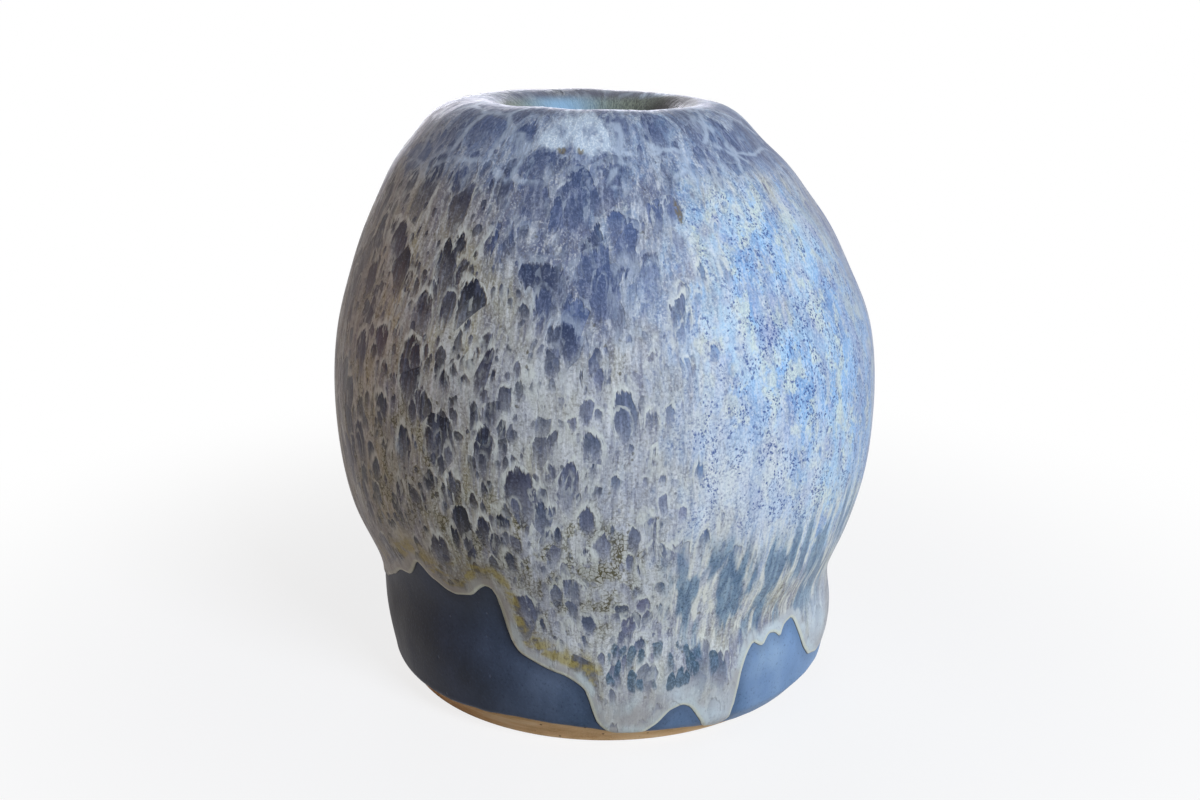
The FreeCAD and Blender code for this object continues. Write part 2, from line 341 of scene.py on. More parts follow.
def arc_at(height):
    """Arc length at which the outside line passes a height, on its way down."""
    top = outside.line[:, 0].argmax()
    return np.interp(-height, -outside.line[top:, 0], outside.arcs[top:])


foot_arc = arc_at(height_round(FOOT_LINE, turns) + 0.08 * waves(turns, 0, 60, 9, 2))
drip_arc = arc_at(height_round(DRIP_LINE, turns) + 0.12 * waves(turns, 0, 70, 9, 3))
print(f"drip line from {drip_arc.min():.1f} to {drip_arc.max():.1f} mm along the wall")

# %% [markdown]
# ## True distance to the drip line
# Thickness, the rolled rim and the ochre band just inside it all depend on how far a place is from
# the edge, measured square to it.  The wall is unrolled flat, and numpy takes the shortest distance.

# %% Distance inside (+) or outside (-) the drip line
UNROLLED_RADIUS = 38.5


def from_drip_line(arcs, reach=16.0):
    """Distance in mm from the drip line, + where the runny glaze lies."""
    arcs = np.broadcast_to(arcs, (len(arcs), COLUMNS))
    fine = np.radians(np.arange(-180, 180, 0.2))
    edge = np.interp(fine, turns, drip_arc, period=2 * math.pi)
    inside = np.where(arcs < drip_arc, 1.0, -1.0)
    distance = np.full(arcs.shape, reach)
    for column, turn in enumerate(turns):
        apart = (fine - turn + math.pi) % (2 * math.pi) - math.pi
        near = np.abs(apart) * UNROLLED_RADIUS < reach
        across, edge_near = apart[near] * UNROLLED_RADIUS, edge[near]
        gap = np.hypot(across[None, :], arcs[:, column][:, None] - edge_near[None, :]).min(axis=1)
        distance[:, column] = np.minimum(gap, reach)
    return distance * inside


# %% [markdown]
# ## Base glaze
# The satin base coat is 0.6 mm thick and thins to nothing at its wiped foot line.  Rows are close
# together only where it shows, below the runny glaze.

# %% The base glaze's rows
BASE_DEPTH = 0.6
FIRST_SEEN = 74.0       # arc length above which the base glaze is always covered
FOOT_ROLL = 0.9         # length over which the coat rounds down to the clay
COVERED_ROWS, SEEN_ROWS, BACK_ROWS = 40, 62, 22


def base_depth(arcs):
    """Thickness of the base glaze along the wall."""
    share = np.clip((foot_arc - arcs) / FOOT_ROLL, 0, 1)
    return BASE_DEPTH * np.sqrt(1 - (1 - share) ** 2)


covered = np.linspace(0, FIRST_SEEN, COVERED_ROWS, endpoint=False)[:, None]
covered = np.broadcast_to(covered, (COVERED_ROWS, COLUMNS))
downwards = 1 - (1 - np.linspace(0, 1, SEEN_ROWS)[:, None]) ** 1.15
seen = FIRST_SEEN + (foot_arc - FIRST_SEEN) * downwards
base_arcs = np.vstack([covered, seen])
back_arcs = np.linspace(1, 0, BACK_ROWS)[:, None] * (foot_arc - 0.05)
slack = 0.06 * (waves(turns, base_arcs, 9, 26, 5) - 1) * ease(base_arcs, FIRST_SEEN, FIRST_SEEN + 8)
slack = slack * ease(foot_arc - base_arcs, 0, 2)
base_rows = np.concatenate([
    outside.skin(turns, base_arcs, base_depth(base_arcs) + slack - 0.02),
    outside.skin(turns, back_arcs, -0.04)])
base_all = np.vstack([base_arcs, back_arcs])

# %% Where the base glaze has painted light (blue) and painted shade (brown), and the piece itself
BASE_PATCHES = {
    # blue: painted light and sheen of the cool window on the lit right side, with a copy at the back
    "blue": ((68, 10, 60, 40, 1.0), (215, 12, 40, 40, 0.7)),
    # brown: painted shade with a painted warm reflection on the dark left side, with a copy at the back
    "brown": ((-76, 14, 30, 24, 1.1), (140, 14, 30, 24, 0.6)),
}
base_notes = notes_from(BASE_PATCHES, base_rows)
base_notes["flow"] = flow_of(base_rows, base_all)
base_notes["drip_gap"] = from_drip_line(base_all)
base_coat = thrown_piece("base_glaze_coat", "base_glaze", base_rows, True, base_notes)

# %% [markdown]
# ## Runny glaze
# The pale glaze is about 1.2 mm thick.  Its edge rolls over like a drop of honey, so the depth rises
# as a quarter round over the first millimetre or so.  Slow waves thin it a little between the runs.

# %% The runny glaze's rows
RUNNY_DEPTH, EDGE_ROLL, THROAT_ROLL = 1.2, 1.1, 1.3
EDGE_DEPTH = 0.3       # depth just inside the edge, as a share of the full depth
LAST_EVEN = 70.0        # arc length down to which the rows are level
EVEN_ROWS, EDGE_ROWS, LINING_ROWS = 100, 54, 24

even = np.linspace(0, LAST_EVEN, EVEN_ROWS, endpoint=False)[:, None]
even = np.broadcast_to(even, (EVEN_ROWS, COLUMNS))
to_edge = 1 - (1 - np.linspace(0, 1, EDGE_ROWS)[:, None]) ** 1.3
runny_arcs = np.vstack([even, LAST_EVEN + (drip_arc - LAST_EVEN) * to_edge])
edge_gap = from_drip_line(runny_arcs)
roll = 1 - (1 - np.clip(edge_gap / EDGE_ROLL, 0, 1)) ** 2
throat_roll = 1 - (1 - np.clip(runny_arcs / THROAT_ROLL, 0, 1)) ** 2
thinning = 0.10 * (waves(turns, runny_arcs, 12, 24, 11) - 1)
runs = 0.11 * (waves(turns, runny_arcs, 30, 70, 12) - 1) * ease(runny_arcs, 45, 75)
edge_share = EDGE_DEPTH + (1 - EDGE_DEPTH) * ease(edge_gap, 0.0, 12.0)
runny_depth = (RUNNY_DEPTH + thinning + runs) * edge_share * np.sqrt(roll) * np.sqrt(throat_roll)
runny_depth = np.clip(runny_depth, 0, RUNNY_DEPTH)
lining_arcs = np.linspace(1, 0, LINING_ROWS)[:, None] * (drip_arc - 0.1) + 0.02
runny_rows = np.concatenate([
    outside.skin(turns, runny_arcs, base_depth(runny_arcs) + runny_depth - 0.06),
    outside.skin(turns, lining_arcs, base_depth(lining_arcs) - 0.12)])
runny_all = np.vstack([runny_arcs, lining_arcs])
print(f"runny glaze depth {runny_depth[5:-5].min():.2f} to {runny_depth.max():.2f} mm")

# %% [markdown]
# ## A map of the runny glaze
# The glaze is sky-blue on one side, partly its own colour and partly a painted sheen of the
# window light, violet high on the front, dark and panelled on the crown, and ochre in places near its
# edge.  Painted shade and painted reflection are entered too.  The map says where, and each entry
# becomes a note on the points.

# %% The map: degrees from the front, height, half-widths in degrees and mm, strength
MAP = {
    # broad zones of colour
    # pale: the glaze's own sky-blue, with a painted sheen of the window light on the lit right side
    "pale": ((34, 68, 24, 22, 0.8), (64, 58, 26, 28, 0.8), (30, 46, 22, 16, 0.5), (52, 34, 24, 12, 0.5),
        (205, 60, 34, 22, 1.0), (165, 48, 18, 14, 0.6)),
    "violet": ((-14, 80, 13, 9, 1.0), (4, 76, 13, 12, 1.0), (-4, 66, 9, 8, 0.5), (16, 82, 9, 6, 0.6),
        (130, 74, 22, 12, 1.0), (250, 78, 18, 9, 0.9)),
    "deep": ((-66, 58, 50, 50, 1.6), (-40, 30, 18, 12, 0.5), (100, 40, 34, 30, 0.8),
        (245, 45, 30, 40, 0.9)),
    "bright": ((8, 46, 24, 26, 1.0), (-6, 24, 22, 12, 0.8), (-22, 60, 14, 10, 0.5),
        (34, 34, 16, 14, 0.8), (170, 44, 26, 20, 1.0)),
    # the lip and the throat
    "star": ((-3, 92.6, 10, 2.4, 1.2), (5, 90.8, 6, 2.0, 0.7), (-12, 91.0, 6, 1.6, 0.6),
        (140, 92, 14, 4, 0.8), (255, 91, 10, 3, 0.6)),
    "taupe": ((180, 93, 60, 3, 1.0), (-110, 92, 30, 3, 0.8)),
    # painted reflection of the window on the throat's far left, painted shade in the dark hole on its
    # right
    "throat_painted_reflection": ((-156, 90, 24, 8, 1.0),),
    "throat_painted_shade": ((118, 90, 24, 8, 1.3), (88, 90, 16, 8, 0.6)),
    # painted shade on the two far sides, with a painted warm reflection on the left
    "left_shade_warm_reflection": ((-74, 50, 12, 60, 1.0), (-64, 28, 12, 9, 0.8)),
    "right_edge_shade": ((88, 52, 20, 34, 1.0), (84, 78, 20, 12, 0.6)),
    # stains and specks
    "olive": ((-66, 56, 26, 24, 0.75), (-40, 44, 14, 9, 0.8), (-20, 36, 14, 7, 0.9),
        (-62, 38, 12, 14, 1.0), (2, 34, 14, 9, 0.7), (-8, 24, 10, 5, 0.9), (30, 30, 9, 7, 0.5),
        (100, 34, 22, 10, 0.8), (235, 40, 26, 9, 0.8)),
    "ochre": ((-62, 26, 7, 3.5, 0.8), (-47, 30.5, 8, 4, 1.0), (-37, 28.5, 9, 4, 1.2),
        (-28, 29.5, 5, 3, 1.1), (-23, 27, 3, 3, 1.1), (-20, 22, 2.5, 4, 1.2), (-14, 17.3, 6, 3, 1.3),
        (-8, 16, 4, 2.4, 1.3), (-2.8, 12.5, 2.2, 4, 1.3), (110, 22, 7, 3, 0.9), (170, 25, 8, 3, 0.8),
        (240, 29, 9, 3, 0.9)),
    "mark": ((21, 82, 1.0, 2.0, 1.0), (-7.5, 89.9, 1.8, 0.5, 1.0), (-2, 89.9, 1.4, 0.5, 1.0),
        (150, 70, 2.0, 2.0, 1.0)),
    # low down, where the glaze ran
    "lanes": ((40, 26, 16, 11, 1.0), (60, 28, 14, 13, 1.0), (20, 27, 11, 11, 0.9),
        (215, 26, 16, 10, 0.9)),
    "teal": ((9, 15, 12, 5, 1.2), (24, 13, 5, 5, 0.5), (152, 18, 10, 6, 0.8)),
    "milky": ((62, 15, 8, 7, 1.0), (15, 10.5, 4, 2.5, 0.6), (42, 17, 10, 2.5, 0.6), (26, 6, 5, 4, 0.7)),
    "smooth_tip": ((5, 6.5, 7, 4, 1.0), (26, 5.5, 5, 5, 1.0), (64, 11, 9, 7, 1.0),
        (16, 10.5, 6, 3, 0.9), (152, 11, 6, 4, 1.0), (211, 13, 7, 4, 1.0), (270, 16, 7, 4, 0.8),
        (100, 14, 6, 4, 0.9)),
}

# %% The runny glaze, with the map's notes on it
CROWN_ARCS = (14, 30)   # the crown's own finish fades out between these arc lengths
notes = notes_from(MAP, runny_rows)
notes["flow"] = flow_of(runny_rows, runny_all)
notes["edge"] = np.vstack([edge_gap, from_drip_line(lining_arcs)])
notes["crown"] = 1 - ease(runny_all, *CROWN_ARCS)
notes["throat_arc"] = runny_all
runny_coat = thrown_piece("runny_glaze_coat", "runny_overglaze", runny_rows, True, notes)

# %% [markdown]
# ## Liner glaze
# The liner was poured in and out again, so it coats the whole chamber and ends inside the throat.

# %% The liner's rows
LINER_DEPTH = 0.6
liner_arcs = np.linspace(0, chamber.length, 110)[:, None]
liner_end = np.sqrt(np.clip((chamber.length - liner_arcs) / 1.0, 0, 1))
liner_slack = 0.05 * (waves(turns, liner_arcs, 8, 20, 21) - 1)
liner_rows = np.concatenate([
    chamber.skin(turns, liner_arcs, (LINER_DEPTH + liner_slack) * liner_end - 0.02),
    chamber.skin(turns, liner_arcs[::-3], -0.03)])
liner_all = np.vstack([liner_arcs, liner_arcs[::-3]])
liner_coat = thrown_piece("liner_glaze_coat", "liner_glaze", liner_rows, False,
                          {"flow": flow_of(liner_rows, liner_all)})

# %% [markdown]
# ## A wiring kit for finishes
# Every finish is a net of nodes.  Written one node at a time it is long to read.  So an Amount is a
# number on a wire that adds and multiplies like any other, and Wiring makes and joins the nodes.

# %% Amounts on wires, and colours
class Amount:
    """A number on a wire: sums with it become Math nodes."""

    def __init__(self, finish, socket):
        self.finish, self.socket = finish, socket

    def __add__(self, other):
        return self.finish.sum("ADD", self, other)

    def __sub__(self, other):
        return self.finish.sum("SUBTRACT", self, other)

    def __rsub__(self, other):
        return self.finish.sum("SUBTRACT", other, self)

    def __mul__(self, other):
        return self.finish.sum("MULTIPLY", self, other)

    __radd__, __rmul__ = __add__, __mul__


def paint(hex_code):
    """A colour as the shader wants it, from the code that a paint chart gives."""
    parts = [int(hex_code[i:i + 2], 16) / 255 for i in (1, 3, 5)]
    return [p / 12.92 if p <= 0.04045 else ((p + 0.055) / 1.055) ** 2.4 for p in parts] + [1.0]


# %% A net of nodes and its wires
class Wiring:
    """A net of nodes."""

    def __init__(self, net):
        self.net = net

    def feed(self, socket, value):
        if isinstance(value, Amount):
            value = value.socket
        if isinstance(value, bpy.types.NodeSocket):
            self.net.links.new(value, socket)
        else:
            socket.default_value = value

    def node(self, kind, inputs=(), **settings):
        made = self.net.nodes.new(kind)
        for key, value in settings.items():
            setattr(made, key, value)
        for key, value in dict(inputs).items():
            self.feed(made.inputs[key], value)
        return made

    def sum(self, operation, *values, held=False):
        made = self.node("ShaderNodeMath", enumerate(values), operation=operation, use_clamp=held)
        return Amount(self, made.outputs[0])

    def most(self, first, *others):
        """The largest of several amounts."""
        for other in others:
            first = self.sum("MAXIMUM", first, other)
        return first

    def in_view(self):
        """1 where the camera looks straight at a thing, or sees it mirrored or through glass."""
        rays = self.node("ShaderNodeLightPath").outputs
        return self.most(*(Amount(self, rays[f"Is {kind} Ray"])
                           for kind in ("Camera", "Glossy", "Transmission")))

    def vector(self, operation, a, b):
        return self.node("ShaderNodeVectorMath", {0: a, 1: b}, operation=operation).outputs[0]

    def split(self, vector):
        made = self.node("ShaderNodeSeparateXYZ", {0: vector})
        return [Amount(self, socket) for socket in made.outputs]

    def note(self, name):
        return Amount(self, self.node("ShaderNodeAttribute", attribute_name=name).outputs["Fac"])

    def flow(self):
        return self.node("ShaderNodeAttribute", attribute_name="flow").outputs["Vector"]

    def smooth(self, value, low, high, at_low=0.0, at_high=1.0):
        made = self.node("ShaderNodeMapRange", {0: value, 1: low, 2: high, 3: at_low, 4: at_high},
                         interpolation_type="SMOOTHSTEP")
        return Amount(self, made.outputs[0])


# %% [markdown]
# ## Textures and colours
# A Finish makes what a glaze shows.  Clouds are noise and cells are a Voronoi texture, both laid out
# along the flow in millimetres, so that they run down the pot as the glaze did.

# %% Clouds, cells, colours and relief
class Finish(Wiring):
    """A material with textures measured in millimetres, for one piece."""

    def __init__(self, name):
        self.material = bpy.data.materials.new(name)
        self.material.use_nodes = True
        super().__init__(self.material.node_tree)
        self.shader = self.net.nodes["Principled BSDF"]

    def grid(self, place, across, along):
        """The place in cells: across mm round the pot, along mm down the wall."""
        return self.vector("MULTIPLY", place, (1 / across, 1 / across, 1 / along))

    def cloud(self, place, across, along=None, detail=2.0, rough=0.5):
        made = self.node("ShaderNodeTexNoise", {"Vector": self.grid(place, across, along or across),
                                                "Scale": 1.0, "Detail": detail, "Roughness": rough})
        return Amount(self, made.outputs[0])

    def wandered(self, place, across, along, reach):
        """The place moved about by a slow cloud, so that nothing lines up."""
        cloud = self.node("ShaderNodeTexNoise", {"Vector": self.grid(place, across, along),
                                                 "Scale": 1.0, "Detail": 2.0}).outputs[1]
        shift = self.vector("SUBTRACT", cloud, (0.5, 0.5, 0.5))
        return self.vector("ADD", place, self.vector("MULTIPLY", shift, (reach, reach, reach)))

    def cells(self, grid):
        return self.node("ShaderNodeTexVoronoi", {"Vector": grid, "Scale": 1.0})

    def seams(self, grid):
        """How far a place lies from the border of its cell."""
        made = self.node("ShaderNodeTexVoronoi", {"Vector": grid, "Scale": 1.0},
                         feature="DISTANCE_TO_EDGE")
        return Amount(self, made.outputs["Distance"])

    def specks(self, grid, size, inner, channel, low, high):
        """Round specks in the cells whose random colour channel lies past low, towards high."""
        cell = self.cells(grid)
        held = self.smooth(self.split(cell.outputs["Color"])[channel], low, high)
        return self.smooth(Amount(self, cell.outputs["Distance"]), size, inner) * held

    def dots(self, place, spacing, size, share):
        """Small round dots, in the given share of the cells."""
        return self.specks(self.grid(place, spacing, spacing), size, size * 0.55,
                           0, share + 0.05, share - 0.05)

    def blend(self, share, a, b):
        """From colour a to colour b.  A colour is a wire or a paint chart's code."""
        a, b = (paint(colour) if isinstance(colour, str) else colour for colour in (a, b))
        made = self.node("ShaderNodeMix", {0: share, 6: a, 7: b}, data_type="RGBA",
                         clamp_result=False)
        return made.outputs[2]

    def ramp(self, value, *stops):
        """A colour from a number, by stops of (place, colour)."""
        made = self.node("ShaderNodeValToRGB", {0: value})
        stop_list = made.color_ramp.elements
        while len(stop_list) < len(stops):
            stop_list.new(0.5)
        for stop, (place, colour) in zip(stop_list, stops):
            stop.position, stop.color = place, paint(colour)
        return made.outputs[0]

    def relief(self, height, depth_mm, before=None):
        inputs = {"Height": height, "Strength": 1.0, "Distance": depth_mm * MM}
        if before is not None:
            inputs["Normal"] = before
        return self.node("ShaderNodeBump", inputs).outputs[0]

    def coat(self, piece, slot, colour, roughness, normal):
        self.feed(self.shader.inputs["Base Color"], colour)
        self.feed(self.shader.inputs["Roughness"], roughness)
        self.feed(self.shader.inputs["Normal"], normal)
        piece.data.materials.append(self.material)
        print(self.material.name, "has", len(self.net.nodes), "nodes")


# %% [markdown]
# ## Bare clay
# Buff stoneware is a dry, slightly gritty surface: warm tan with lighter and darker drifts, iron
# specks, and rings left by the turning tool.

# %% The clay finish
def bare_clay():
    f = Finish("bare_stoneware")
    place = f.flow()
    drift = f.cloud(place, 7.0, 1.6, detail=4.0)
    grit = f.cloud(place, 0.35, 0.28)
    iron = f.specks(f.grid(place, 1.5, 1.3), 0.2, 0.1, 0, 0.62, 0.7)
    colour = f.ramp(drift, (0.3, "#bb9566"), (0.5, "#d6b284"), (0.72, "#e6cca4"))
    colour = f.blend(f.smooth(grit, 0.35, 0.65) * 0.35, colour, "#dcc19a")
    colour = f.blend(iron * 0.8, colour, "#4a3020")
    rings = f.cloud(place, 60.0, 0.35, detail=1.0)
    normal = f.relief(grit * 0.6 + rings * 0.8 + drift * 0.6, 0.12)
    f.shader.inputs["Specular IOR Level"].default_value = 0.1
    f.coat(clay_body, "clay", colour, f.smooth(grit, 0.3, 0.7, 0.75, 0.92), normal)


bare_clay()

# %% [markdown]
# ## Slate-blue base glaze
# A satin glaze: soft shine, fine pale and dark speckle, and slow drifts of tone.  A painted shade
# darkens it just below the thick glaze's edge.  It is brown on the dark side, a painted shade with a
# painted warm reflection, and pale blue on the lit side, a painted light of the window.

# %% The base glaze finish
def slate_base():
    f = Finish("slate_blue_satin")
    place, gap = f.flow(), f.note("drip_gap")
    drift = f.cloud(place, 9.0, 13.0, detail=3.0)
    speckle = f.cloud(place, 0.45, 0.5, rough=0.6)
    dark = f.ramp(drift, (0.3, "#262a34"), (0.5, "#363d4d"), (0.72, "#485268"))
    # blue: painted light of the cool window on the lit right side
    blue = f.ramp(drift, (0.3, "#6989ac"), (0.5, "#7e9cbf"), (0.72, "#97b2cc"))
    colour = f.blend(f.note("blue"), dark, blue)
    # brown: painted shade with a painted warm reflection on the dark left side
    colour = f.blend(f.note("brown") * 0.9, colour, "#1d1512")
    # more pale speckle where the light is painted
    pale_share = 0.04 + f.note("blue") * 0.2
    colour = f.blend(f.smooth(speckle, 0.5, 0.75) * pale_share, colour, "#7f95c4")
    colour = f.blend(f.smooth(speckle, 0.42, 0.28) * 0.35, colour, "#262b3c")
    # painted shade in the crease just below the runny glaze's edge, weaker where the light is painted
    edge_share = 0.4 - f.note("blue") * 0.22
    colour = f.blend(f.smooth(gap, -2.2, -0.1) * edge_share, colour, "#262a38")
    pits = f.specks(f.grid(place, 2.2, 2.4), 0.13, 0.06, 1, 0.7, 0.75)
    colour = f.blend(pits * 0.12, colour, "#9fb0d0")
    normal = f.relief(drift + speckle * 0.25 - pits * 0.4, 0.14)
    f.shader.inputs["Specular IOR Level"].default_value = 0.09
    f.coat(base_coat, "base_glaze", colour, f.smooth(drift, 0.3, 0.7, 0.42, 0.55), normal)


slate_base()

# %% [markdown]
# ## The runny glaze's own textures
# All parts of this finish share a place that wanders, a calmer one for streaks and a finer one for
# grain.  The map's notes become zones here, frayed so that no border shows.

# %% Shared textures and zones
ZONES = {   # how much each zone frays, and the frayed values where it starts and is full
    "pale": (0.8, 0.12, 0.95), "violet": (0.5, 0.2, 0.85), "crown": (0.35, 0.15, 0.8),
    "bright": (0.6, 0.2, 0.9), "deep": (0.4, 0.1, 0.9), "olive": (0.5, 0.2, 0.9),
    "ochre": (0.6, 0.35, 0.8), "lanes": (0.5, 0.25, 0.85), "star": (0.9, 0.3, 0.75),
    "teal": (0.3, 0.3, 0.7),
}


class RunnyGlaze(Finish):
    """The runny glaze's material, with the textures that all its parts share."""

    def __init__(self, name):
        super().__init__(name)
        self.place = self.wandered(self.flow(), 8.0, 14.0, 3.6)
        self.calm = self.wandered(self.flow(), 10.0, 24.0, 2.4)
        self.fine = self.wandered(self.place, 1.2, 1.8, 0.7)
        self.teeth = self.cloud(self.fine, 0.6, 3.2, rough=0.65)
        self.streaks = self.cloud(self.calm, 0.8, 8.0, detail=3.0, rough=0.6)
        self.grains = self.cloud(self.calm, 0.36, 0.42, rough=0.6)
        fray = (self.cloud(self.place, 5.0, 11.0, detail=3.0, rough=0.6) - 0.5) * 1.5
        fray = fray + (self.cloud(self.fine, 0.9, 4.5) - 0.5) * 0.9
        self.zone = {name: self.smooth(self.note(name) + fray * share, low, high)
                     for name, (share, low, high) in ZONES.items()}

    def by_pale(self, elsewhere, on_pale):
        """One colour on the pale side, another elsewhere."""
        return self.blend(self.zone["pale"], elsewhere, on_pale)


# %% [markdown]
# ## Windows in the runny glaze
# As the pale glaze boiled and ran, holes opened in it and the dark glaze below shows through.  Each
# one has a crisp ragged arch at its top with a thin pale rim, and fades into streaks towards its
# foot.  A Voronoi texture gives the cells, and the place inside a cell tells top from bottom.

# %% Dark windows with arched tops
def windows(f, place, across, along, smallest, largest, wanted, teeth, fading=0.7):
    """How open the window is here, its pale rim, a random tone for it, and how far down it lies."""
    grid = f.grid(place, across, along)
    cell = f.cells(grid)
    x, y, rise = f.split(f.vector("SUBTRACT", grid, cell.outputs["Position"]))
    chance, tone, _ = f.split(cell.outputs["Color"])
    reach = (smallest + chance * (largest - smallest)) * wanted
    fall = f.smooth(rise, reach * 0.8, reach * -1.7)
    drawn = f.most(rise, rise * 0.6)
    out = f.sum("SQRT", x * x + y * y + drawn * drawn) + (teeth - 0.5) * (0.34 + fall * 0.35)
    beyond = out - reach
    opened = f.sum("DIVIDE", reach - out, fall * 0.34 + 0.045, held=True) * (1.0 - fall * fading)
    rim = f.smooth(beyond, -0.03, 0.01) * f.smooth(beyond, 0.2, 0.03) * (1.0 - fall * 0.85)
    return opened, rim * f.smooth(reach, 0.15, 0.35), tone, fall


# %% [markdown]
# ## The pale skin
# The skin is grey-cream on the dark side, slate on the crown, and sky-blue with cream and lilac
# clouds on the pale side, where part of the blue is a painted sheen of the window light.  Streaks run
# down it, and where it is dusty with olive it has crackled.

# %% The skin's broad colours
def skin_colours(f):
    zone, place, fine = f.zone, f.place, f.fine
    drift = f.cloud(place, 6.0, 10.0, detail=3.0)
    colour = f.ramp(drift, (0.36, "#9498a8"), (0.5, "#a8a8a4"), (0.64, "#b5b29c"))
    earthy = f.ramp(drift, (0.36, "#8f8d8c"), (0.5, "#9c998a"), (0.64, "#a69f83"))
    colour = f.blend(zone["deep"] * 0.7, colour, earthy)
    # sky-blue of the pale side, partly the glaze's own colour and partly a painted sheen of the window
    # light
    sky = f.ramp(drift, (0.34, "#7a9fc8"), (0.47, "#98c0e4"), (0.56, "#b0d0e4"), (0.68, "#a2aec6"))
    cream = f.smooth(f.cloud(fine, 3.0, 4.4, detail=4.0, rough=0.65), 0.49, 0.59)
    sky = f.blend(cream * 0.85, sky, "#cfdbcf")
    lilac = f.smooth(f.cloud(fine, 4.6, 7.0, detail=4.0, rough=0.6), 0.53, 0.62)
    sky = f.blend(lilac * 0.6, sky, "#98a6c6")
    colour = f.blend(zone["crown"], colour, f.ramp(drift, (0.35, "#6f7f9e"), (0.65, "#97a7bf")))
    violet = f.ramp(drift, (0.38, "#566387"), (0.62, "#77829f"))
    colour = f.blend(zone["violet"] * 0.75, colour, violet)
    colour = f.blend(zone["pale"], colour, sky)
    return f.blend(zone["bright"] * 0.6, colour, "#cdd3d8")


# %% Streaks, runs, dust, grain and crackle on the skin
def skin_tones(f):
    zone, streaks, grains = f.zone, f.streaks, f.grains
    colour = skin_colours(f)
    drawn = 1.0 - zone["pale"] * 0.5
    colour = f.blend(f.smooth(streaks, 0.52, 0.66) * drawn * 0.6, colour, "#dcdfe0")
    colour = f.blend(f.smooth(streaks, 0.48, 0.36) * drawn * 0.5, colour,
                     f.by_pale("#6d7088", "#7390b8"))
    # painted shade and a painted warm reflection on the far left side
    colour = f.blend(f.note("left_shade_warm_reflection") * 0.75, colour, "#66554a")
    runs = f.cloud(f.calm, 3.2, 34.0)
    colour = f.blend(f.smooth(runs, 0.52, 0.66) * 0.35, colour, "#d6dde0")
    colour = f.blend(f.smooth(runs, 0.47, 0.36) * 0.3, colour, f.by_pale("#777b8c", "#84a0c0"))
    dust = f.smooth(f.cloud(f.place, 2.6, 4.0, detail=3.0), 0.44, 0.6)
    dust = dust * (zone["olive"] * 0.85 + 0.15)
    colour = f.blend(dust * 0.5, colour, f.by_pale("#9a9572", "#c3c8ae"))
    colour = f.blend(f.smooth(grains, 0.46, 0.36) * 0.35, colour, f.by_pale("#57544c", "#3c5690"))
    colour = f.blend(f.smooth(grains, 0.55, 0.66) * 0.45, colour, "#dfe2e0")
    seam = f.seams(f.grid(f.fine, 0.62, 0.7)) + (grains - 0.5) * 0.3
    seam = f.smooth(seam, 0.13, 0.04) * (dust * 0.9 + 0.08)
    colour = f.blend(seam, colour, f.by_pale("#4f4a2e", "#48639a"))
    specks = f.dots(f.fine, 0.8, 0.42, 0.05 + dust * 0.25)
    return f.blend(specks * 0.7, colour, f.by_pale("#4a452c", "#33508c"))


# %% [markdown]
# ## What shows through the windows
# The glaze in a window is near-black where the pot is dark, slate on the crown and dusty blue on the
# pale side.  Towards the window's foot it pales, and streaks and grains cross it.

# %% The tone of a window
def window_tones(f, tone, fall):
    zone = f.zone
    night = f.ramp(tone, (0.0, "#101218"), (0.5, "#1c1f2c"), (1.0, "#2a2735"))
    dusk = f.ramp(tone, (0.0, "#3d485c"), (0.5, "#5a657b"), (1.0, "#6e7188"))
    slate = f.ramp(tone, (0.0, "#343f5a"), (0.5, "#3f4e70"), (1.0, "#4d5f85"))
    dusty = f.ramp(tone, (0.0, "#7a98bf"), (0.5, "#90acca"), (1.0, "#9ba3b8"))
    colour = f.blend(zone["deep"], dusk, night)
    colour = f.blend(f.most(zone["violet"], zone["crown"]), colour, slate)
    colour = f.blend(zone["pale"], colour, dusty)
    colour = f.blend(fall * (0.55 - zone["deep"] * 0.2), colour, f.by_pale("#868da4", "#a9c0da"))
    streaky = f.smooth(f.streaks, 0.5, 0.68) * (0.4 - zone["deep"] * 0.2)
    colour = f.blend(streaky, colour, "#8f9ab8")
    colour = f.blend(f.smooth(f.grains, 0.46, 0.38) * 0.3, colour, "#222840")
    grainy = f.smooth(f.grains, 0.56, 0.66) * (0.16 + zone["violet"] * 0.1)
    return f.blend(grainy, colour, "#97a3c0")


# %% Windows of four sizes, and their rims
def windowed(f, skin):
    """The skin with its windows, and how hollow it is there."""
    zone, place, fine, teeth = f.zone, f.place, f.fine, f.teeth
    wanted = 1.0 + zone["violet"] * 0.1 - zone["deep"] * 0.04 - zone["pale"] * 0.62
    wanted = wanted - zone["bright"] * 0.12
    panelled = f.most(zone["crown"], zone["violet"] * 0.85)
    small = windows(f, fine, 1.2, 2.3, 0.0, 0.6, wanted, teeth)
    mid = windows(f, fine, 2.2, 4.4, 0.0, 0.70, wanted, teeth)
    big = windows(f, place, 3.8, 7.4, 0.12, 0.74, wanted, teeth)
    panel = windows(f, place, 8.5, 9.5, 0.4, 0.9, panelled, teeth * 0.6 + 0.2, fading=0.75)
    colour = skin
    for window, strength in ((small, 0.55 + zone["deep"] * 0.35), (mid, 0.85),
                             (big, 1.0 - zone["crown"] * 0.6), (panel, 0.9)):
        opened, _, tone, fall = window
        colour = f.blend(opened * strength, colour, window_tones(f, tone, fall))
    rim = f.most(big[1], mid[1] * 0.7, panel[1]) * f.smooth(f.cloud(fine, 1.3, 2.0), 0.3, 0.56)
    colour = f.blend(rim * (0.9 - panelled * 0.55), colour,
                     f.blend(panelled, "#d2d7d0", "#b4c1d0"))
    return colour, f.most(big[0], mid[0] * 0.7, panel[0])


# %% [markdown]
# ## Flecks and lanes on the pale side
# Dark blue flecks gather in clouds over the pale side.  Low down there the glaze ran in lanes, and
# the blue below shows between them.

